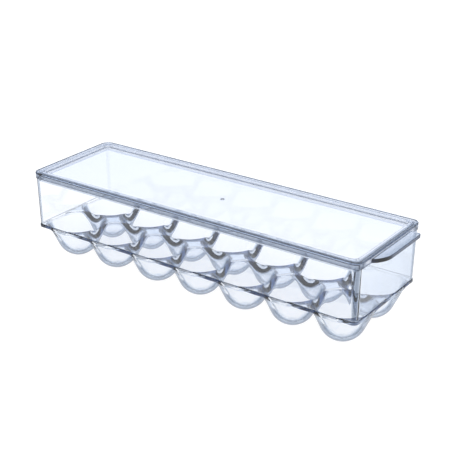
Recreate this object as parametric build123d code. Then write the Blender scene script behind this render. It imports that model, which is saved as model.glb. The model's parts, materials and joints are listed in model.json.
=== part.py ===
from build123d import *
import math
import os

# Refrigerator egg holder: a clear tray with two rows of seven egg cups and a clear lift-off lid.
# The origin is the middle of the whole object's footprint, on the surface it stands on.
# X runs along the rows towards the lid's pull tab, Y across them, Z up. All sizes are in mm.

# Egg cups
CUPS_PER_ROW = 7
ROW_NAMES = {"front": -1, "back": 1}
CUP_PITCH = 49.2             # from cup to cup along a row
ROW_PITCH = 50.6             # between the two rows
CUP_SPHERE = 21.0            # outer radius of the round bottom
CUP_DRAFT = 24.2             # degrees that the cup's cone leans from upright
CUP_WALL = 2.8               # the mouths nearly touch between the rows and overlap a little along them
CUP_CENTRE_Z = 20.4          # height of the round bottom's centre
CUP_FLOOR_TOP = 2.8          # height of the flat spot inside the cup
FLANK_DRAFT = 16.0           # degrees; where a cup meets the tray's wall it has a flat, steep flank
FLANK_HEIGHT = 12.6          # how far the flank runs down
FLANK_CORNER = 1.5           # corner radius at the flank's lower end

# Tray
DECK_TOP = 33.0
DECK_THICKNESS = 2.4
DECK_BEAD = 0.7              # how far the deck's edge stands out from the wall
WALL_HEIGHT_TOP = 80.6       # height of the tray's rim
WALL_LENGTH_TOP = 350.0      # outer sizes at the rim
WALL_WIDTH_TOP = 105.2
WALL_THICKNESS = 2.2
WALL_DRAFT = 1.45            # degrees
WALL_CORNER = 6.0            # outer corner radius at the rim

# Lid
LID_GAP = 0.2                # the lid's skirt stands this far above the tray's rim
LID_TOP = 86.7
LID_LENGTH = 352.2
LID_WIDTH = 107.6
LID_CORNER = 8.0
SKIRT_THICKNESS = 1.9
PLATE_TOP = 84.4             # height of the recessed panel
PLATE_THICKNESS = 2.0
RIM_WIDTH = 6.9              # width of the raised border round the panel
RIM_THICKNESS = 1.9
RISER_THICKNESS = 1.8        # upright step from the panel to the raised border
PANEL_CORNER = 6.0           # corner radius of the raised border's inner edge
LIP_BOTTOM = 77.9            # the locating lip reaches down to here
LIP_THICKNESS = 1.8
LIP_CORNER = 4.4             # a little rounder than the wall's inside corner, so it clears it
LIP_CLEARANCE = 0.4          # between the lip and the inside of the tray's wall
EDGE_ROUND = 1.0             # rounding of the lid's outer top edge

# Pull tab on the lid's right end
TAB_REACH = 9.7              # how far it stands out from the lid's skirt
TAB_BACK_END = 34.0          # Y of its square end
TAB_STRAIGHT_END = -16.0     # Y where the straight edge starts to sweep back
TAB_SWEPT_END = -35.0        # Y where the sweep meets the skirt
TAB_SWEEP_MIDDLE_Y = -29.0   # a point half-way round the sweep
TAB_SWEEP_MIDDLE_IN = 4.1    # and how far in from the straight edge it lies
TAB_CORNER = 2.5

EPS = 0.01                   # a hair's overshoot, for cuts through slanted walls
OVERSHOOT = 1.0              # how far the other cutting tools stand proud

TRAY_X = -TAB_REACH / 2      # the tab is part of the length, so the tray sits off centre
DECK_BOTTOM = DECK_TOP - DECK_THICKNESS
WALL_HEIGHT = WALL_HEIGHT_TOP - DECK_TOP
WALL_INSET = WALL_HEIGHT * math.tan(math.radians(WALL_DRAFT))
WALL_LENGTH_BASE = WALL_LENGTH_TOP - 2 * WALL_INSET
WALL_WIDTH_BASE = WALL_WIDTH_TOP - 2 * WALL_INSET
BASE_CORNER = WALL_CORNER - WALL_INSET
SKIRT_BOTTOM = WALL_HEIGHT_TOP + LID_GAP


def rounded_slab(length, width, corner, low, high):
    """An upright slab with rounded corners, centred on the tray."""
    outline = Pos(TRAY_X, 0, low) * RectangleRounded(length, width, corner)
    return extrude(outline, amount=high - low)


def drafted_block(inset, low, high):
    """The tray wall's outer shape, moved in by inset and leaning outwards as it rises."""
    length = WALL_LENGTH_BASE - 2 * inset
    width = WALL_WIDTH_BASE - 2 * inset
    outline = Pos(TRAY_X, 0, low) * RectangleRounded(length, width, BASE_CORNER - inset)
    return extrude(outline, amount=high - low, taper=-WALL_DRAFT)


def cup_solid(radius, floor_z, top_z):
    """A filled cup: a flat foot, a round bottom and a straight cone tangent to it."""
    lean = math.radians(CUP_DRAFT)
    foot_radius = math.sqrt(radius ** 2 - (CUP_CENTRE_Z - floor_z) ** 2)
    tangent_r = radius * math.cos(lean)
    tangent_z = CUP_CENTRE_Z - radius * math.sin(lean)
    top_radius = tangent_r + (top_z - tangent_z) * math.tan(lean)
    foot_angle = math.asin((CUP_CENTRE_Z - floor_z) / radius)
    middle = (foot_angle + lean) / 2
    on_arc = (radius * math.cos(middle), 0, CUP_CENTRE_Z - radius * math.sin(middle))
    foot = Line((0, 0, floor_z), (foot_radius, 0, floor_z))
    bowl = ThreePointArc((foot_radius, 0, floor_z), on_arc, (tangent_r, 0, tangent_z))
    cone = Line((tangent_r, 0, tangent_z), (top_radius, 0, top_z))
    lid_line = Line((top_radius, 0, top_z), (0, 0, top_z))
    axis_line = Line((0, 0, top_z), (0, 0, floor_z))
    face = make_face([foot, bowl, cone, lid_line, axis_line])
    return revolve(face, axis=Axis.Z)


def cup_place(column, side):
    """The middle of one cup; column counts from 0 at the plain end of the tray."""
    x = TRAY_X + (column - (CUPS_PER_ROW - 1) / 2) * CUP_PITCH
    return Pos(x, side * ROW_PITCH / 2, 0)


def cup_cell(column, side, low, high):
    """The block of space that belongs to one cup; the end cups reach the tray's edge."""
    reach = WALL_LENGTH_TOP
    middle = (CUPS_PER_ROW - 1) / 2
    left = TRAY_X + (column - middle - 0.5) * CUP_PITCH
    right = left + CUP_PITCH
    if column == 0:
        left = right - reach
    if column == CUPS_PER_ROW - 1:
        right = left + reach
    depth = WALL_WIDTH_TOP
    centre = Pos((left + right) / 2, side * depth / 2, (low + high) / 2)
    return centre * Box(right - left, depth, high - low)


def cup_limit(inset, flank_top):
    """The space the cups may fill: the tray's outline moved in by inset, with steep flanks below."""
    length = WALL_LENGTH_BASE - 2 * inset
    width = WALL_WIDTH_BASE - 2 * inset
    corner = BASE_CORNER - inset
    top_slab = rounded_slab(length, width, corner, flank_top, DECK_TOP + OVERSHOOT)
    flank_in = FLANK_HEIGHT * math.tan(math.radians(FLANK_DRAFT))
    flank_bottom = flank_top - FLANK_HEIGHT
    low_outline = Pos(TRAY_X, 0, flank_bottom) * RectangleRounded(
        length - 2 * flank_in, width - 2 * flank_in, FLANK_CORNER
    )
    high_outline = Pos(TRAY_X, 0, flank_top) * RectangleRounded(length, width, corner)
    flank = loft([low_outline, high_outline])
    bottom_slab = extrude(low_outline, amount=-flank_bottom)
    return top_slab + flank + bottom_slab


def egg_cup(column, side):
    """One cup with its share of the deck, hollow from above."""
    outer = cup_solid(CUP_SPHERE, 0.0, DECK_TOP)
    inner = cup_solid(CUP_SPHERE - CUP_WALL, CUP_FLOOR_TOP, DECK_TOP + EPS)
    cell = cup_cell(column, side, 0.0, DECK_TOP)
    outer_limit = cup_limit(0.0, DECK_BOTTOM)
    edge_length = WALL_LENGTH_BASE + 2 * DECK_BEAD
    edge_width = WALL_WIDTH_BASE + 2 * DECK_BEAD
    deck = rounded_slab(edge_length, edge_width, BASE_CORNER + DECK_BEAD, DECK_BOTTOM, DECK_TOP)
    inner_limit = cup_limit(WALL_THICKNESS, DECK_TOP)
    own_place = cup_place(column, side)
    solids = deck + (own_place * outer & outer_limit)
    hollows = own_place * inner
    for near_column in (column - 1, column, column + 1):
        for near_side in (side, -side):
            is_own = near_column == column and near_side == side
            if is_own or not 0 <= near_column < CUPS_PER_ROW:
                continue
            place = cup_place(near_column, near_side)
            solids = solids + (place * outer & outer_limit)
            hollows = hollows + place * inner
    return (solids & cell) - (hollows & inner_limit)


def tray_wall():
    """The tray's four walls, standing on the deck."""
    outside = drafted_block(0.0, DECK_TOP, WALL_HEIGHT_TOP)
    inside = drafted_block(WALL_THICKNESS, DECK_TOP - EPS, WALL_HEIGHT_TOP + EPS)
    return outside - inside


def tab_outline():
    """The pull tab from above: a straight edge, one square end and one swept end."""
    skirt_x = TRAY_X + LID_LENGTH / 2
    root_x = skirt_x - SKIRT_THICKNESS / 2
    edge_x = skirt_x + TAB_REACH
    root_side = Line((root_x, TAB_SWEPT_END), (root_x, TAB_BACK_END))
    back_side = Line((root_x, TAB_BACK_END), (edge_x - TAB_CORNER, TAB_BACK_END))
    corner_mid = TAB_CORNER * (1 - math.sqrt(0.5))
    corner = ThreePointArc(
        (edge_x - TAB_CORNER, TAB_BACK_END),
        (edge_x - corner_mid, TAB_BACK_END - corner_mid),
        (edge_x, TAB_BACK_END - TAB_CORNER),
    )
    straight = Line((edge_x, TAB_BACK_END - TAB_CORNER), (edge_x, TAB_STRAIGHT_END))
    sweep = Spline(
        (edge_x, TAB_STRAIGHT_END),
        (edge_x - TAB_SWEEP_MIDDLE_IN, TAB_SWEEP_MIDDLE_Y),
        (root_x, TAB_SWEPT_END),
        tangents=[(0, -1), (-1, -0.25)],
    )
    return make_face([root_side, back_side, corner, straight, sweep])


def lid():
    """One moulding: panel, raised border, skirt, locating lip and pull tab."""
    border = rounded_slab(LID_LENGTH, LID_WIDTH, LID_CORNER, SKIRT_BOTTOM, LID_TOP)
    border = fillet(border.faces().sort_by(Axis.Z)[-1].edges(), EDGE_ROUND)
    recess_length = LID_LENGTH - 2 * RIM_WIDTH
    recess_width = LID_WIDTH - 2 * RIM_WIDTH
    recess = rounded_slab(recess_length, recess_width, PANEL_CORNER, PLATE_TOP, LID_TOP + OVERSHOOT)
    channel_length = LID_LENGTH - 2 * SKIRT_THICKNESS
    channel_width = LID_WIDTH - 2 * SKIRT_THICKNESS
    channel_corner = LID_CORNER - SKIRT_THICKNESS
    channel_top = LID_TOP - RIM_THICKNESS
    channel_bottom = SKIRT_BOTTOM - OVERSHOOT
    channel = rounded_slab(channel_length, channel_width, channel_corner, channel_bottom, channel_top)
    core_length = recess_length + 2 * RISER_THICKNESS
    core_width = recess_width + 2 * RISER_THICKNESS
    core_corner = PANEL_CORNER + RISER_THICKNESS
    core = rounded_slab(core_length, core_width, core_corner, PLATE_TOP - PLATE_THICKNESS, channel_top)
    lip_inset = WALL_THICKNESS + LIP_CLEARANCE
    lip_drop = WALL_HEIGHT_TOP - LIP_BOTTOM
    lip_length = WALL_LENGTH_TOP - 2 * (lip_inset + lip_drop * math.tan(math.radians(WALL_DRAFT)))
    lip_width = lip_length - (WALL_LENGTH_TOP - WALL_WIDTH_TOP)
    lip_outside = rounded_slab(lip_length, lip_width, LIP_CORNER, LIP_BOTTOM, channel_top)
    lip_inside = rounded_slab(
        lip_length - 2 * LIP_THICKNESS,
        lip_width - 2 * LIP_THICKNESS,
        LIP_CORNER - LIP_THICKNESS,
        LIP_BOTTOM - OVERSHOOT,
        channel_top + OVERSHOOT,
    )
    tab = extrude(Pos(0, 0, SKIRT_BOTTOM) * tab_outline(), amount=PLATE_TOP - SKIRT_BOTTOM)
    return border - recess - channel + core + (lip_outside - lip_inside) + tab


def save(name, shape):
    """Write one sub-part and say how big it is."""
    export_step(shape, f"parts/{name}.step")
    box = shape.bounding_box()
    print(name, len(shape.solids()), round(shape.volume), box.min, box.max)


os.makedirs("parts", exist_ok=True)
for row_name, row_side in ROW_NAMES.items():
    for cup_column in range(CUPS_PER_ROW):
        save(f"egg_cup_{row_name}_{cup_column + 1}", egg_cup(cup_column, row_side))
save("tray_wall", tray_wall())
save("lid", lid())
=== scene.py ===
import bpy
import bmesh
import json
import math
import numpy as np
from mathutils import Matrix, Vector


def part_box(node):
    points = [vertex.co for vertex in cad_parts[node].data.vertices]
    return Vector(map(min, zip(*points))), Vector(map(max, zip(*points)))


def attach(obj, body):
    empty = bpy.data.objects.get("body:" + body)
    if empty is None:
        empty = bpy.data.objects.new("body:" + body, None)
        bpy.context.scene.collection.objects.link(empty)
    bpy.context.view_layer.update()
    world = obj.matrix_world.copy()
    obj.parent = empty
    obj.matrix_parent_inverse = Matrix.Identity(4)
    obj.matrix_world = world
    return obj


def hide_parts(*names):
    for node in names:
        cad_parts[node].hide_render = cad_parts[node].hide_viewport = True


# A clear refrigerator egg holder: a tray with two rows of seven egg cups, and a lid.
# X runs along the rows towards the lid's pull tab, Y across them, Z up. All sizes are in metres.

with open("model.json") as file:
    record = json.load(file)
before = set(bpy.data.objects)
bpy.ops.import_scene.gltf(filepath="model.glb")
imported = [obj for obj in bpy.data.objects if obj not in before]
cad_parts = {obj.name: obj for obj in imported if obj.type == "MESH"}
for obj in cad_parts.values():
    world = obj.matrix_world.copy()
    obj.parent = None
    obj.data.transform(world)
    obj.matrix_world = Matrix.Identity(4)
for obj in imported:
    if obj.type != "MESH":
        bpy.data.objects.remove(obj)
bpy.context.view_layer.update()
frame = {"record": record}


MM = 0.001

# ---------------------------------------------------------------- sizes taken from the frame
wall_low, wall_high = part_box("tray_wall")
cup_low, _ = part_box("egg_cup_front_1")
middle_low, middle_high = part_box("egg_cup_front_4")
lid_low, lid_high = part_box("lid")

CENTRE_X = (wall_low.x + wall_high.x) / 2
PITCH = middle_high.x - middle_low.x           # from cup to cup along a row
ROW_Y = 25.3 * MM                              # from the tray's middle line to the middle of a row
COLUMNS = 7
DECK_Z = wall_low.z
RIM_Z = wall_high.z
DECK_THICK = 2.4 * MM
DECK_BEAD = 0.7 * MM                           # how far the deck's edge stands out from the wall
WALL_THICK = 2.2 * MM
RIM_X = wall_high.x - CENTRE_X
BASE_X = CENTRE_X - cup_low.x - DECK_BEAD      # wall's outer half sizes where it meets the deck
BASE_Y = -cup_low.y - DECK_BEAD
SLOPE = (RIM_X - BASE_X) / (RIM_Z - DECK_Z)    # how much the wall leans outwards
BASE_CORNER = 6.0 * MM - (RIM_X - BASE_X)

SPHERE = 21.0 * MM                             # outer radius of a cup's round bottom
CUP_WALL = 2.8 * MM
LEAN = math.radians(24.2)                      # how far a cup's cone leans from upright
SPHERE_Z = 20.4 * MM                           # height of the round bottom's centre
FLOOR_TOP = 2.8 * MM                           # height of the flat spot inside a cup
FLANK_LEAN = math.radians(16.0)                # of the steep flank where a cup meets the wall
FLANK_ROUND = 1.5 * MM

EDGE_STEPS = 40                                # mesh steps along one side of a cup's cell
ARC_STEPS = 8                                  # and round one corner of the wall
INNER_RADIUS = 20.0 * MM                       # inside this the mesh rings are circles
INNER_RINGS = (0.12, 0.25, 0.4, 0.55, 0.7, 0.82, 0.92, 1.0)
OUTER_RINGS = (
    0.07, 0.14, 0.21, 0.28, 0.35, 0.42, 0.49, 0.56, 0.63, 0.7, 0.76, 0.82, 0.88, 0.93, 0.97, 1.0,
)
RING_STEPS = [(share, 0) for share in INNER_RINGS] + [(1.0, share) for share in OUTER_RINGS]

# roundings of the tray's upper and lower face: at the mouths of the cups, and on the webs between cups
TOP_EDGE, TOP_WEB = 1.6 * MM, 2.0 * MM
UNDER_EDGE, UNDER_WEB = 4.4 * MM, 8.0 * MM
# how strongly painted shade darkens the webs and the mouths of the two faces
TOP_PAINTED_SHADE = (0.3, 0.62)
UNDER_PAINTED_SHADE = (0.62, 0.42)


# ---------------------------------------------------------------- the tray's two faces as heights
def smooth_min(a, b, k):
    """The lower of two heights, with the crease between them rounded over k."""
    h = np.maximum(k - np.abs(a - b), 0.0) / k
    return np.minimum(a, b) - h * h * k / 4


def closeness(a, b, k):
    """1 where the two faces cross, 0 where they are more than k apart."""
    return np.maximum(k - np.abs(a - b), 0.0) / k


def bowl(r, radius, floor):
    """Height of a cup's surface at distance r from its middle."""
    turn_r = radius * math.cos(LEAN)
    turn_z = SPHERE_Z - radius * math.sin(LEAN)
    round_part = SPHERE_Z - np.sqrt(np.maximum(radius ** 2 - np.minimum(r, turn_r) ** 2, 0.0))
    cone_part = turn_z + (r - turn_r) / math.tan(LEAN)
    z = np.where(r < turn_r, round_part, cone_part)
    return -smooth_min(-z, np.full_like(z, -floor), 0.4 * MM)


def face_height(x, y, radius, floor, deck, edge_k, web_k, half, web_shade_strength, mouth_shade_strength):
    """The tray's upper or lower face, all the cups sunk in the deck, and its painted shade marks."""
    z = None
    web_shade = np.zeros_like(x)
    for column in range(COLUMNS):
        for side in (-1, 1):
            cx = CENTRE_X + (column - (COLUMNS - 1) / 2) * PITCH
            b = bowl(np.hypot(x - cx, y - side * ROW_Y), radius, floor)
            if z is None:
                z = b
                continue
            # painted shade along the webs where two cups meet
            web_shade = np.maximum(web_shade, closeness(z, b, web_k) * web_shade_strength)
            z = smooth_min(z, b, web_k)
    # where a cup meets the wall it has a flat, steep flank
    depth = np.minimum(half[0] - np.abs(x - CENTRE_X), half[1] - np.abs(y))
    flank = deck - np.maximum(depth, 0.0) / math.tan(FLANK_LEAN)
    z = -smooth_min(-z, -flank, FLANK_ROUND)
    # painted shade on the mouths is stronger at the tray's two ends and on a cup's back side, weaker at the
    # long walls
    from_side = np.maximum(half[1] - np.abs(y), 0.0)
    near_end = np.clip((3 * MM - half[0] + np.abs(x - CENTRE_X)) / (2 * MM), 0, 1)
    far = np.clip((y - np.sign(y) * ROW_Y) / (10 * MM), -1, 1)
    mouth_shade = closeness(z, np.full_like(z, deck), 1.6 * MM) * np.clip(from_side / (3 * MM), 0, 1)
    mouth_shade = mouth_shade * (1 + near_end) * (1 + 0.5 * far)
    # painted shade on the webs, only where they dip below the deck
    web_shade = web_shade * np.clip((deck + 1 * MM - z) / (2 * MM), 0, 1)
    return smooth_min(z, np.full_like(z, deck), edge_k), np.maximum(mouth_shade * mouth_shade_strength, web_shade)


def top_face(x, y):
    half = (BASE_X - WALL_THICK, BASE_Y - WALL_THICK)
    return face_height(x, y, SPHERE - CUP_WALL, FLOOR_TOP, DECK_Z, TOP_EDGE, TOP_WEB, half, *TOP_PAINTED_SHADE)


def under_face(x, y):
    half = (BASE_X, BASE_Y)
    deck = DECK_Z - DECK_THICK
    return face_height(x, y, SPHERE, 0.0, deck, UNDER_EDGE, UNDER_WEB, half, *UNDER_PAINTED_SHADE)


# ---------------------------------------------------------------- outlines
def line(p, q, steps):
    """Points from p towards q, without q itself."""
    return [(p[0] + (q[0] - p[0]) * k / steps, p[1] + (q[1] - p[1]) * k / steps) for k in range(steps)]


def arc(cx, cy, r, start, steps):
    """Points on an anticlockwise quarter circle from the angle start, without the last one."""
    angles = [start + math.pi / 2 * k / steps for k in range(steps)]
    return [(cx + r * math.cos(a), cy + r * math.sin(a)) for a in angles]


def column_edge(column):
    """X of the border between a column of cups and the one before it."""
    return CENTRE_X + (column - COLUMNS / 2) * PITCH


def outline(hx, hy, rc):
    """Anticlockwise from the middle of the left side, with points at every cell border."""
    x0, x1 = CENTRE_X - hx, CENTRE_X + hx
    stops = [x0 + rc] + [column_edge(c) for c in range(1, COLUMNS)] + [x1 - rc]
    pts = line((x0, 0), (x0, -hy + rc), EDGE_STEPS)
    pts += arc(x0 + rc, -hy + rc, rc, math.pi, ARC_STEPS)
    for a, b in zip(stops, stops[1:]):
        pts += line((a, -hy), (b, -hy), EDGE_STEPS)
    pts += arc(x1 - rc, -hy + rc, rc, -math.pi / 2, ARC_STEPS)
    pts += line((x1, -hy + rc), (x1, 0), EDGE_STEPS)
    pts += line((x1, 0), (x1, hy - rc), EDGE_STEPS)
    pts += arc(x1 - rc, hy - rc, rc, 0, ARC_STEPS)
    back = stops[::-1]
    for a, b in zip(back, back[1:]):
        pts += line((a, hy), (b, hy), EDGE_STEPS)
    pts += arc(x0 + rc, hy - rc, rc, math.pi / 2, ARC_STEPS)
    pts += line((x0, hy - rc), (x0, 0), EDGE_STEPS)
    return np.array(pts)


def cell_loop(column, side, hx, hy, rc):
    """One cup's cell, anticlockwise for the back row and clockwise for the front."""
    left, right = column_edge(column), column_edge(column + 1)
    if column == COLUMNS - 1:
        right = CENTRE_X + hx
    if column == 0:
        left = CENTRE_X - hx
    pts = line((left, 0), (right, 0), EDGE_STEPS)
    if column == COLUMNS - 1:
        pts += line((right, 0), (right, hy - rc), EDGE_STEPS)
        pts += arc(right - rc, hy - rc, rc, 0, ARC_STEPS)
        pts += line((right - rc, hy), (left, hy), EDGE_STEPS)
        pts += line((left, hy), (left, 0), EDGE_STEPS)
    elif column == 0:
        pts += line((right, 0), (right, hy), EDGE_STEPS)
        pts += line((right, hy), (left + rc, hy), EDGE_STEPS)
        pts += arc(left + rc, hy - rc, rc, math.pi / 2, ARC_STEPS)
        pts += line((left, hy - rc), (left, 0), EDGE_STEPS)
    else:
        pts += line((right, 0), (right, hy), EDGE_STEPS)
        pts += line((right, hy), (left, hy), EDGE_STEPS)
        pts += line((left, hy), (left, 0), EDGE_STEPS)
    loop = np.array(pts)
    loop[:, 1] *= side
    return loop


class Builder:
    """Collects vertices and faces; parts that share an edge are merged at the end."""

    def __init__(self):
        self.verts = []
        self.faces = []
        self.edge = []

    def add(self, points, edge=0.0):
        """Adds points with their painted shade value and gives the first one's number."""
        start = len(self.verts)
        self.verts.extend(map(tuple, points))
        self.edge.extend(np.broadcast_to(edge, (len(points),)))
        return start

    def ring(self, xy, z, edge=0.0):
        z = np.broadcast_to(z, (len(xy),))
        return self.add(np.column_stack([xy, z]), edge)

    def stitch(self, a, b, n, flip=False):
        """Joins two rings of n points, given by their first points, with quads."""
        for i in range(n):
            j = (i + 1) % n
            quad = (a + i, a + j, b + j, b + i)
            self.faces.append(quad[::-1] if flip else quad)

    def mesh(self, name, merge=2e-7):
        data = bpy.data.meshes.new(name)
        data.from_pydata(self.verts, [], self.faces)
        # the painted shade values go into a point attribute that the material reads
        data.attributes.new("edge", "FLOAT", "POINT").data.foreach_set("value", self.edge)
        bm = bmesh.new()
        bm.from_mesh(data)
        bmesh.ops.remove_doubles(bm, verts=bm.verts, dist=merge)
        bmesh.ops.recalc_face_normals(bm, faces=bm.faces)
        bm.to_mesh(data)
        bm.free()
        obj = bpy.data.objects.new(name, data)
        bpy.context.scene.collection.objects.link(obj)
        return obj


# painted shade: bowl surfaces darken sooner at a glancing angle
BOWL_HEIGHT = 22 * MM                          # below this a cup's surface is marked as bowl,
BOWL_FADE = 4 * MM                             # fading in over this depth


def cells(build, hx, hy, rc, face, flip):
    """Meshes one face of the tray, a cell for each cup, with rings from the cup's middle outwards."""
    for column in range(COLUMNS):
        for side in (-1, 1):
            loop = cell_loop(column, side, hx, hy, rc)
            cx = CENTRE_X + (column - (COLUMNS - 1) / 2) * PITCH
            centre = np.array([cx, side * ROW_Y])
            away = loop - centre
            reach = np.hypot(away[:, 0], away[:, 1])
            direction = away / reach[:, None]
            last = None
            first = None
            for inner, outer in RING_STEPS:
                r = INNER_RADIUS * inner + (reach - INNER_RADIUS) * outer
                xy = centre + direction * r[:, None]
                if outer == 1.0:
                    xy = loop
                z, painted_shade = face(xy[:, 0], xy[:, 1])
                # bowls get a negative value, which makes their painted glancing shade start sooner
                bowl_shade = np.clip((BOWL_HEIGHT - z) / BOWL_FADE, 0, 1)
                start = build.ring(xy, z, painted_shade - bowl_shade)
                if last is None:
                    first = start
                else:
                    build.stitch(last, start, len(loop), flip)
                last = start
            middle_z = float(face(centre[:1], centre[1:])[0][0])
            middle = build.add([(centre[0], centre[1], middle_z)], -1.0)
            for i in range(len(loop)):
                build.faces.append((middle, first + i, first + (i + 1) % len(loop)))


# painted shade on the four rounded wall corners, weakest at the back left
CORNER_SHADE_STRENGTH = (1.3, 1.3, 1.2, 0.25)      # front left, front right, back right, back left


def corner_painted_shade():
    """Painted shade: a soft dark mark on the four rounded corners of a wall outline, 0 elsewhere."""
    corner_shade = np.zeros(len(wall_outline(0.0, DECK_Z)))
    start = EDGE_STEPS
    runs = (COLUMNS * EDGE_STEPS, 2 * EDGE_STEPS, COLUMNS * EDGE_STEPS, EDGE_STEPS)
    for painted_shade, run in zip(CORNER_SHADE_STRENGTH, runs):
        bump = np.sqrt(np.sin(np.linspace(0, math.pi, ARC_STEPS + 1)))
        corner_shade[start:start + ARC_STEPS + 1] = painted_shade * bump
        start += ARC_STEPS + run
    return corner_shade


def wall_outline(offset, z):
    """The wall's outer shape at a height, moved outwards by offset."""
    spread = SLOPE * max(z - DECK_Z, 0.0)
    return outline(BASE_X + spread + offset, BASE_Y + spread + offset, BASE_CORNER + spread + offset)


WALL_FILLET = 0.6 * MM                         # where the wall stands on the deck, inside
RIM_ROUND = 0.7 * MM                           # at the top of the wall
# the outside of the deck's edge, as (out from the wall, up from the deck's top) in mm
DECK_BEAD_PROFILE = (
    (0.0, 0.9), (0.0, 0.35), (0.06, 0.15), (0.2, 0.02), (0.38, 0.0), (0.55, -0.04), (0.66, -0.15),
    (0.7, -0.35), (0.7, -2.05), (0.66, -2.25), (0.55, -2.36), (0.38, -2.4), (0.2, -2.4),
)
# from there to the cups' outside, as (out from the wall in mm, share of the way down)
UNDER_PROFILE = ((0.06, 0.03), (0.0, 0.12), (0.0, 0.5), (0.0, 0.85), (-0.1, 0.96))


def build_tray():
    """The tray as one closed shell: upper face, wall, deck's edge and lower face."""
    build = Builder()
    fillet = WALL_FILLET
    inside = -WALL_THICK - fillet
    xy = wall_outline(inside, DECK_Z)
    n = len(xy)
    # painted shade for the wall's corners
    corner_shade = corner_painted_shade()
    z, _ = top_face(xy[:, 0], xy[:, 1])
    cells(build, BASE_X + inside, BASE_Y + inside, BASE_CORNER + inside, top_face, False)
    rings = [(xy, z)]
    for step in (22.5, 45, 67.5, 90):
        a = math.radians(step)
        offset = inside + fillet * math.sin(a)
        rings.append((wall_outline(offset, DECK_Z), z + fillet * (1 - math.cos(a))))
    # inner face of the wall, rim, outer face
    round_r = RIM_ROUND
    for height in (DECK_Z + 1.0 * MM, RIM_Z - round_r - 0.5 * MM):
        rings.append((wall_outline(-WALL_THICK, height), height))
    for step in (0, 22.5, 45, 67.5, 90):
        a = math.radians(step)
        height = RIM_Z - round_r + round_r * math.sin(a)
        rings.append((wall_outline(-WALL_THICK + round_r * (1 - math.cos(a)), RIM_Z), height))
    for step in (90, 67.5, 45, 22.5, 0):
        a = math.radians(step)
        height = RIM_Z - round_r + round_r * math.sin(a)
        rings.append((wall_outline(-round_r * (1 - math.cos(a)), RIM_Z), height))
    rings.append((wall_outline(0.0, RIM_Z - round_r - 0.5 * MM), RIM_Z - round_r - 0.5 * MM))
    bead_start = len(rings)
    for out, up in DECK_BEAD_PROFILE:
        height = DECK_Z + up * MM
        rings.append((wall_outline(out * MM, height), height))
    under_inset = -0.3 * MM
    under_xy = wall_outline(under_inset, 0.0)
    under_z, _ = under_face(under_xy[:, 0], under_xy[:, 1])
    deck_under = DECK_Z - DECK_THICK
    drop = under_z - deck_under
    for out, share in UNDER_PROFILE:
        rings.append((wall_outline(out * MM, 0.0), deck_under + drop * share))
    rings.append((under_xy, under_z))
    last = None
    for index, (ring_xy, ring_z) in enumerate(rings):
        spot = index - bead_start
        # painted shade: dark lines on the upper and lower rounding of the deck's edge, and on the wall's
        # corners
        shade_lined = 1 <= spot <= 5 or 10 <= spot <= 12
        start = build.ring(ring_xy, ring_z, np.maximum(corner_shade, 1.0 if shade_lined else 0.0))
        if last is not None:
            build.stitch(last, start, n)
        last = start
    cells(build, BASE_X + under_inset, BASE_Y + under_inset, BASE_CORNER + under_inset, under_face, True)
    return build.mesh("tray_shell")


# ---------------------------------------------------------------- lid
LID_X = CENTRE_X
LID_HALF_X = LID_X - lid_low.x
LID_HALF_Y = lid_high.y
LID_TOP = lid_high.z
LID_ARC = 14                                   # mesh steps round one corner of the lid
# sizes of the lid's section, in mm
LIP_DROP = 2.9                                 # the lip reaches this far below the skirt
PANEL_DROP = 2.3                               # the panel lies this far below the border
PANEL_THICK = 2.0
BORDER_WIDTH = 6.9
BORDER_THICK = 1.9
SKIRT_THICK = 1.9
LIP_OUTSIDE, LIP_INSIDE = 3.77, 5.57           # in from the lid's outer edge
LID_CORNER = 8.0
BORDER_CORNERS = (7.0, 6.0)                    # corner radius near the border's outer and inner edge
TOP_POINTS = 15                                # profile points from the panel out to the lid's top edge


def lid_outline(inset, rc):
    """The lid from above, moved in by inset, with corners of radius rc."""
    hx, hy = LID_HALF_X - inset, LID_HALF_Y - inset
    x0, x1 = LID_X - hx, LID_X + hx
    pts = arc(x0 + rc, -hy + rc, rc, math.pi, LID_ARC) + [(x0 + rc, -hy)]
    pts += arc(x1 - rc, -hy + rc, rc, -math.pi / 2, LID_ARC) + [(x1, -hy + rc)]
    pts += arc(x1 - rc, hy - rc, rc, 0, LID_ARC) + [(x1 - rc, hy)]
    pts += arc(x0 + rc, hy - rc, rc, math.pi / 2, LID_ARC) + [(x0, hy - rc)]
    return np.array(pts)


def rounded_profile(points):
    """Turns (inset, height, rounding) corners into a smooth list of (inset, height)."""
    out = []
    count = len(points)
    for i, (x, z, r) in enumerate(points):
        if r == 0 or i in (0, count - 1):
            out.append((x, z))
            continue
        p = np.array([x, z])
        a = np.array(points[i - 1][:2]) - p
        b = np.array(points[i + 1][:2]) - p
        a = a / np.hypot(*a)
        b = b / np.hypot(*b)
        centre = p + r * (a + b)
        start = p + a * r
        end = p + b * r
        for k in range(5):
            t = math.pi / 2 * k / 4
            out.append(tuple(centre - b * r * math.cos(t) - a * r * math.sin(t)))
    return out


def lid_painted_shade(inset, above_skirt, below_top, side):
    """How much painted shade darkens the lid: most on the skirt's lower and upper edges."""
    if inset > 2.0:
        return 0.45 if above_skirt < -1.0 else 0.0
    if inset > 1.5:
        return 0.3 * side
    if above_skirt < 0.4:
        return 1.7 * side
    if below_top < 0.8:
        return 1.4 * side
    return 0.85 * side


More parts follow.
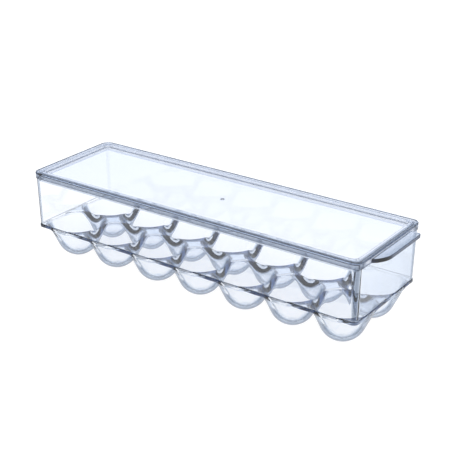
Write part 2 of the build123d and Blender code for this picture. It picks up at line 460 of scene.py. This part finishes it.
def build_lid():
    """The lid without its pull tab: one profile carried round the lid's outline."""
    top = LID_TOP / MM
    panel = top - PANEL_DROP
    skirt = lid_low.z / MM + LIP_DROP
    lip = lid_low.z / MM
    profile = rounded_profile([
        (BORDER_WIDTH + 1.3, panel, 0),
        (BORDER_WIDTH, panel, 0.4),
        (BORDER_WIDTH, top, 0.4),
        (0.0, top, 1.0),
        (0.0, skirt, 0.3),
        (SKIRT_THICK, skirt, 0.3),
        (SKIRT_THICK, top - BORDER_THICK, 0.4),
        (LIP_OUTSIDE, top - BORDER_THICK, 0.4),
        (LIP_OUTSIDE, lip, 0.4),
        (LIP_INSIDE, lip, 0.4),
        (LIP_INSIDE, panel - PANEL_THICK, 0.4),
        (BORDER_WIDTH - 0.1, panel - PANEL_THICK, 0),
    ])
    build = Builder()
    # painted shade is stronger on the front and right sides, which face the camera, than on the two far ones
    xy = lid_outline(0.0, LID_CORNER * MM)
    along = np.roll(xy, -1, axis=0) - np.roll(xy, 1, axis=0)
    towards = (along[:, 1] * 0.58 + along[:, 0] * 0.81) / np.hypot(along[:, 0], along[:, 1])
    side = 0.3 + 0.7 * np.clip(towards * 4 + 0.5, 0, 1)
    n = len(xy)
    last = None
    for index, (inset, z) in enumerate(profile):
        rc = LID_CORNER - inset
        if index < TOP_POINTS and inset >= 1.5:
            inwards = (inset - 1.0) / (BORDER_WIDTH - 1.0)
            rc = BORDER_CORNERS[0] - inwards * (BORDER_CORNERS[0] - BORDER_CORNERS[1])
        # painted shade for this ring of the profile
        painted_shade = lid_painted_shade(inset, z - skirt, top - z, side)
        ring = build.ring(lid_outline(inset * MM, rc * MM), z * MM, painted_shade)
        if last is None:
            build.faces.append(tuple(range(ring, ring + n)))
        else:
            build.stitch(last, ring, n)
        last = ring
    build.faces.append(tuple(range(last, last + n))[::-1])
    return build.mesh("lid_shell")


def tab_points():
    """The pull tab from above: a straight edge, one square end and one swept end."""
    skirt_x = LID_X + LID_HALF_X
    root_x = skirt_x - 1.0 * MM
    edge_x = lid_high.x
    back_y, straight_y, swept_y = 34.0 * MM, -16.0 * MM, -35.0 * MM
    rc = 2.5 * MM
    # the swept end, an S from the skirt out to the straight edge
    p0 = np.array([root_x, swept_y])
    p1 = np.array([root_x + 4.2 * MM, swept_y + 1.4 * MM])
    p2 = np.array([edge_x, straight_y - 9.5 * MM])
    p3 = np.array([edge_x, straight_y])
    steps = 18
    pts = [(root_x, swept_y)]
    for k in range(1, steps):
        t = k / steps
        p = (1 - t) ** 3 * p0 + 3 * (1 - t) ** 2 * t * p1 + 3 * (1 - t) * t * t * p2 + t ** 3 * p3
        pts.append(tuple(p))
    pts.append((edge_x, straight_y))
    pts += arc(edge_x - rc, back_y - rc, rc, 0, 8)
    pts += [(edge_x - rc, back_y), (root_x, back_y)]
    return np.array(pts)


def build_tab():
    """A slab with softly rounded edges; its root lies inside the lid's skirt."""
    pts = tab_points()
    n = len(pts)
    low = lid_low.z + LIP_DROP * MM
    high = LID_TOP - PANEL_DROP * MM
    along = np.roll(pts, -1, axis=0) - np.roll(pts, 1, axis=0)
    normal = np.column_stack([along[:, 1], -along[:, 0]])
    normal /= np.hypot(normal[:, 0], normal[:, 1])[:, None]
    normal[0] = normal[-1] = (0.0, 0.0)
    r = 0.5 * MM
    build = Builder()
    rings = []
    for step in (90, 60, 30, 0):
        a = math.radians(step)
        rings.append((pts - normal * r * (1 - math.cos(a)), low + r * (1 - math.sin(a))))
    for step in (0, 30, 60, 90):
        a = math.radians(step)
        rings.append((pts - normal * r * (1 - math.cos(a)), high - r * (1 - math.sin(a))))
    last = None
    for xy, z in rings:
        ring = build.ring(xy, z)
        if last is None:
            build.faces.append(tuple(range(ring, ring + n))[::-1])
        else:
            build.stitch(last, ring, n)
        last = ring
    build.faces.append(tuple(range(last, last + n)))
    return build.mesh("lid_tab")


GATE = ((lid_low.x + lid_high.x) / 2 + 2.2 * MM, -0.9 * MM)
# a low ring with a shallow dish in it, as (radius, height above the panel) in mm
GATE_PROFILE = ((1.9, -0.5), (1.9, 0.12), (1.8, 0.2), (1.1, 0.2), (1.0, 0.12), (0.9, -0.02))


def build_gate():
    """The small round mark that the moulding gate leaves on the lid's panel."""
    build = Builder()
    panel = LID_TOP - PANEL_DROP * MM
    steps = 24
    turns = [2 * math.pi * k / steps for k in range(steps)]
    last = None
    for radius, up in GATE_PROFILE:
        r = radius * MM
        xy = np.array([(GATE[0] + r * math.cos(a), GATE[1] + r * math.sin(a)) for a in turns])
        ring = build.ring(xy, panel + up * MM)
        if last is None:
            build.faces.append(tuple(range(ring, ring + steps))[::-1])
        else:
            build.stitch(last, ring, steps)
        last = ring
    build.faces.append(tuple(range(last, last + steps)))
    return build.mesh("lid_gate")


def shade_joined_parts(data):
    """The tab and the gate mark get their painted shade once they are part of the lid."""
    low = lid_low.z + (LIP_DROP + 0.1) * MM        # between these two heights the tab's outer edge gets painted shade
    high = LID_TOP - (PANEL_DROP + 0.1) * MM
    for vert, value in zip(data.vertices, data.attributes["edge"].data):
        x, y, z = vert.co
        if x > LID_X + LID_HALF_X + 0.3 * MM:
            value.value = 2.0 if low < z < high else 0.7
        elif high + 0.15 * MM < z < LID_TOP - MM and math.hypot(x - GATE[0], y - GATE[1]) < 2.0 * MM:
            value.value = 1.6


def union(target, tools):
    """Joins the tools to the target as one closed mesh and removes them."""
    for tool in tools:
        mod = target.modifiers.new("join", "BOOLEAN")
        mod.operation = "UNION"
        mod.solver = "EXACT"
        mod.object = tool
    graph = bpy.context.evaluated_depsgraph_get()
    data = bpy.data.meshes.new_from_object(target.evaluated_get(graph))
    target.modifiers.clear()
    old = target.data
    target.data = data
    data.name = target.name
    bpy.data.meshes.remove(old)
    for tool in tools:
        bpy.data.objects.remove(tool)


def shade(obj, sharp_degrees):
    """Smooth shading that keeps the flat faces flat."""
    data = obj.data
    data.polygons.foreach_set("use_smooth", [True] * len(data.polygons))
    if sharp_degrees:
        data.set_sharp_from_angle(angle=math.radians(sharp_degrees))
    mod = obj.modifiers.new("weighted", "WEIGHTED_NORMAL")
    mod.mode = "FACE_AREA"
    mod.keep_sharp = True
    graph = bpy.context.evaluated_depsgraph_get()
    new = bpy.data.meshes.new_from_object(obj.evaluated_get(graph))
    obj.modifiers.clear()
    obj.data = new
    new.name = obj.name


# ---------------------------------------------------------------- materials
BOWL_SHADE_SHIFT = 0.115                             # in the bowls the painted glancing shade starts this much sooner
RIPPLE = 0.00004
HAZE = (0.0, 0.02)
TINT = ((0.97, 0.98, 1.0), (0.985, 0.99, 1.0))
LID_TINT = ((0.93, 0.935, 0.96), (0.955, 0.96, 0.975))
# colours of the painted shade lines on rounded edges, lid and tray
LID_LINE_SHADE = (0.36, 0.42, 0.50)
TRAY_LINE_SHADE = (0.44, 0.50, 0.58)
# the colour at a glancing angle, from face-on at 0 to edge-on at 1: partly the plastic's tint over a longer
# path, partly painted shade that darkens outlines nearly to black
TRAY_GLANCE_SHADE = (
    (0.53, (1, 1, 1)), (0.60, (0.66, 0.73, 0.82)), (0.68, (0.22, 0.29, 0.40)), (0.80, (0.06, 0.09, 0.15)),
    (1.0, (0.02, 0.03, 0.06)),
)
LID_GLANCE_SHADE = (
    (0.74, (1, 1, 1)), (0.82, (0.62, 0.70, 0.80)), (0.88, (0.22, 0.29, 0.40)), (0.94, (0.06, 0.09, 0.15)),
    (1.0, (0.02, 0.03, 0.06)),
)


def clear_plastic(name, tint, edge, line_shade_colour, seed):
    """Clear moulded plastic: faint flow ripples, fine handling haze, a little blue in its depth, and painted
    shade on its outlines and marked edges.
    """
    mat = bpy.data.materials.new(name)
    mat.use_nodes = True
    nodes, links = mat.node_tree.nodes, mat.node_tree.links
    shader = nodes["Principled BSDF"]
    shader.inputs["IOR"].default_value = 1.56
    shader.inputs["Transmission Weight"].default_value = 1.0
    coord = nodes.new("ShaderNodeTexCoord")
    place = nodes.new("ShaderNodeMapping")
    place.inputs["Location"].default_value = (seed, seed * 0.7, 0)
    links.new(coord.outputs["Object"], place.inputs["Vector"])
    # slow flow ripples, stretched along the moulding
    stretch = nodes.new("ShaderNodeMapping")
    stretch.inputs["Scale"].default_value = (9, 26, 26)
    links.new(place.outputs["Vector"], stretch.inputs["Vector"])
    flow = nodes.new("ShaderNodeTexNoise")
    flow.inputs["Scale"].default_value = 1.0
    flow.inputs["Detail"].default_value = 2.0
    links.new(stretch.outputs["Vector"], flow.inputs["Vector"])
    bump = nodes.new("ShaderNodeBump")
    bump.inputs["Strength"].default_value = 1.0
    bump.inputs["Distance"].default_value = RIPPLE
    links.new(flow.outputs["Fac"], bump.inputs["Height"])
    links.new(bump.outputs["Normal"], shader.inputs["Normal"])
    # haze: roughness that varies in soft patches
    patch = nodes.new("ShaderNodeTexNoise")
    patch.inputs["Scale"].default_value = 38.0
    patch.inputs["Detail"].default_value = 5.0
    links.new(place.outputs["Vector"], patch.inputs["Vector"])
    rough = nodes.new("ShaderNodeMapRange")
    rough.inputs["From Min"].default_value = 0.35
    rough.inputs["From Max"].default_value = 0.75
    rough.inputs["To Min"].default_value = HAZE[0]
    rough.inputs["To Max"].default_value = HAZE[1]
    links.new(patch.outputs["Fac"], rough.inputs["Value"])
    links.new(rough.outputs["Result"], shader.inputs["Roughness"])
    # surface tint, a shade deeper in places
    ramp = nodes.new("ShaderNodeValToRGB")
    ramp.color_ramp.elements[0].position = 0.3
    ramp.color_ramp.elements[0].color = (*tint[0], 1)
    ramp.color_ramp.elements[1].position = 0.7
    ramp.color_ramp.elements[1].color = (*tint[1], 1)
    links.new(flow.outputs["Fac"], ramp.inputs["Fac"])
    # at a glancing angle light crosses more plastic, so the colour deepens there; past that tint the ramp
    # paints shade on the outlines
    glance = nodes.new("ShaderNodeLayerWeight")
    glance.inputs["Blend"].default_value = 0.5
    glance_shade_ramp = nodes.new("ShaderNodeValToRGB")
    stops = glance_shade_ramp.color_ramp.elements
    stops[0].position = edge[0][0]
    stops[0].color = (1, 1, 1, 1)
    stops[1].position = 1.0
    stops[1].color = (*edge[-1][1], 1)
    for position, colour in edge[1:-1]:
        stop = stops.new(position)
        stop.color = (*colour, 1)
    # painted shade: a mark above 0 darkens an edge, and one below 0 is a bowl, whose painted glancing shade
    # starts a little sooner
    shade_attribute = nodes.new("ShaderNodeAttribute")
    shade_attribute.attribute_name = "edge"
    sunk = nodes.new("ShaderNodeMapRange")
    sunk.inputs["From Min"].default_value = 0.0
    sunk.inputs["From Max"].default_value = -1.0
    sunk.inputs["To Min"].default_value = 0.0
    sunk.inputs["To Max"].default_value = BOWL_SHADE_SHIFT
    links.new(shade_attribute.outputs["Fac"], sunk.inputs["Value"])
    turned = nodes.new("ShaderNodeMath")
    turned.operation = "ADD"
    links.new(glance.outputs["Facing"], turned.inputs[0])
    links.new(sunk.outputs["Result"], turned.inputs[1])
    links.new(turned.outputs["Value"], glance_shade_ramp.inputs["Fac"])
    both = nodes.new("ShaderNodeMix")
    both.data_type = "RGBA"
    both.blend_type = "MULTIPLY"
    both.inputs["Factor"].default_value = 1.0
    links.new(ramp.outputs["Color"], both.inputs[6])
    links.new(glance_shade_ramp.outputs["Color"], both.inputs[7])
    # painted shade: dark lines where the marks lie, on rims, webs, corners and edges
    line_shade_ramp = nodes.new("ShaderNodeValToRGB")
    line_shade_ramp.color_ramp.elements[0].position = 0.075
    line_shade_ramp.color_ramp.elements[0].color = (1, 1, 1, 1)
    line_shade_ramp.color_ramp.elements[1].position = 1.0
    line_shade_ramp.color_ramp.elements[1].color = (0.04, 0.06, 0.10, 1)
    stop = line_shade_ramp.color_ramp.elements.new(0.45)
    stop.color = (*line_shade_colour, 1)
    halved = nodes.new("ShaderNodeMath")
    halved.operation = "MULTIPLY"
    halved.inputs[1].default_value = 0.5
    links.new(shade_attribute.outputs["Fac"], halved.inputs[0])
    links.new(halved.outputs["Value"], line_shade_ramp.inputs["Fac"])
    lines_shaded = nodes.new("ShaderNodeMix")
    lines_shaded.data_type = "RGBA"
    lines_shaded.blend_type = "MULTIPLY"
    lines_shaded.inputs["Factor"].default_value = 1.0
    links.new(both.outputs[2], lines_shaded.inputs[6])
    links.new(line_shade_ramp.outputs["Color"], lines_shaded.inputs[7])
    links.new(lines_shaded.outputs[2], shader.inputs["Base Color"])
    depth = nodes.new("ShaderNodeVolumeAbsorption")
    depth.inputs["Color"].default_value = (0.58, 0.67, 0.80, 1)
    depth.inputs["Density"].default_value = 55.0
    links.new(depth.outputs["Volume"], nodes["Material Output"].inputs["Volume"])
    return mat


def pale_floor():
    """A plain floor that glows a little, so that it stays pale under the object."""
    mat = bpy.data.materials.new("studio_floor")
    mat.use_nodes = True
    nodes, links = mat.node_tree.nodes, mat.node_tree.links
    shader = nodes["Principled BSDF"]
    shader.inputs["Roughness"].default_value = 0.9
    shader.inputs["Specular IOR Level"].default_value = 0.0
    noise = nodes.new("ShaderNodeTexNoise")
    noise.inputs["Scale"].default_value = 3.0
    ramp = nodes.new("ShaderNodeValToRGB")
    ramp.color_ramp.elements[0].color = (0.25, 0.25, 0.25, 1)
    ramp.color_ramp.elements[1].color = (0.28, 0.28, 0.28, 1)
    links.new(noise.outputs["Fac"], ramp.inputs["Fac"])
    links.new(ramp.outputs["Color"], shader.inputs["Base Color"])
    shader.inputs["Emission Color"].default_value = (1, 1, 1, 1)
    shader.inputs["Emission Strength"].default_value = 0.95
    return mat


# ---------------------------------------------------------------- assembly
tray = build_tray()
shade(tray, None)
lid = build_lid()
union(lid, [build_tab(), build_gate()])
shade_joined_parts(lid.data)
shade(lid, 40)

tray.data.materials.clear()
tray.data.materials.append(clear_plastic("clear_plastic_tray", TINT, TRAY_GLANCE_SHADE, TRAY_LINE_SHADE, 0.0))
lid.data.materials.clear()
lid.data.materials.append(clear_plastic("clear_plastic_lid", LID_TINT, LID_GLANCE_SHADE, LID_LINE_SHADE, 3.1))

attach(tray, "tray")
for node in frame["record"]["behaviour"]["bodies"]["tray"]:
    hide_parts(node)
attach(lid, "lid")
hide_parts("lid")

# ---------------------------------------------------------------- floor, light, camera
FLOOR = 5.0                                    # half the floor's size
FLOOR_GAP = 0.0003                             # keeps the floor's surface off the cups' feet

floor_data = bpy.data.meshes.new("floor")
floor_corners = [(-FLOOR, -FLOOR, 0), (FLOOR, -FLOOR, 0), (FLOOR, FLOOR, 0), (-FLOOR, FLOOR, 0)]
floor_data.from_pydata(floor_corners, [], [(0, 1, 2, 3)])
floor = bpy.data.objects.new("floor", floor_data)
bpy.context.scene.collection.objects.link(floor)
floor.location.z = -FLOOR_GAP
floor_data.materials.append(pale_floor())

# the studio: white overhead, falling to a dim blue at the horizon and below
world = bpy.data.worlds.new("studio")
bpy.context.scene.world = world
world.use_nodes = True
wn, wl = world.node_tree.nodes, world.node_tree.links
background = wn["Background"]
coord = wn.new("ShaderNodeTexCoord")
split = wn.new("ShaderNodeSeparateXYZ")
ramp = wn.new("ShaderNodeValToRGB")
ramp.color_ramp.elements[0].position = 0.05
ramp.color_ramp.elements[0].color = (0.10, 0.16, 0.30, 1)
ramp.color_ramp.elements[1].position = 0.75
ramp.color_ramp.elements[1].color = (1, 1, 1, 1)
mid = ramp.color_ramp.elements.new(0.35)
mid.color = (0.22, 0.31, 0.48, 1)
wl.new(coord.outputs["Generated"], split.inputs["Vector"])
wl.new(split.outputs["Z"], ramp.inputs["Fac"])
wl.new(ramp.outputs["Color"], background.inputs["Color"])
background.inputs["Strength"].default_value = 1.25

AZIMUTH = math.radians(35.47)                  # the camera stands to the right of the front
ELEVATION = math.radians(23.52)
CAMERA_AT = (0.5489, -0.7643, 0.4679)
LENS = 90.9


def softbox(name, azimuth, elevation, distance, size, glow):
    """A soft light facing the object; azimuth is counted like the camera's."""
    light = bpy.data.lights.new(name, "AREA")
    light.shape = "RECTANGLE"
    light.size, light.size_y = size
    light.energy = glow * math.pi * size[0] * size[1]
    obj = bpy.data.objects.new(name, light)
    bpy.context.scene.collection.objects.link(obj)
    towards = Vector((
        math.sin(azimuth) * math.cos(elevation),
        -math.cos(azimuth) * math.cos(elevation),
        math.sin(elevation),
    ))
    obj.location = towards * distance
    obj.rotation_euler = towards.to_track_quat("Z", "Y").to_euler()


softbox("softbox_back", AZIMUTH + math.pi, math.radians(27), 1.9, (1.3, 0.6), 0.6)
cam_data = bpy.data.cameras.new("camera")
cam_data.sensor_width = 36.0
cam_data.lens = LENS
camera = bpy.data.objects.new("camera", cam_data)
bpy.context.scene.collection.objects.link(camera)
sa, ca = math.sin(AZIMUTH), math.cos(AZIMUTH)
se, ce = math.sin(ELEVATION), math.cos(ELEVATION)
back = (sa * ce, -ca * ce, se)
right = (ca, sa, 0.0)
up = (-sa * se, ca * se, ce)
camera.matrix_world = Matrix((
    (right[0], up[0], back[0], CAMERA_AT[0]),
    (right[1], up[1], back[1], CAMERA_AT[1]),
    (right[2], up[2], back[2], CAMERA_AT[2]),
    (0, 0, 0, 1),
))
bpy.context.scene.camera = camera
bpy.context.scene.view_settings.view_transform = "Standard"
bpy.context.scene.cycles.max_bounces = 40
bpy.context.scene.cycles.transmission_bounces = 40
bpy.context.scene.cycles.glossy_bounces = 12
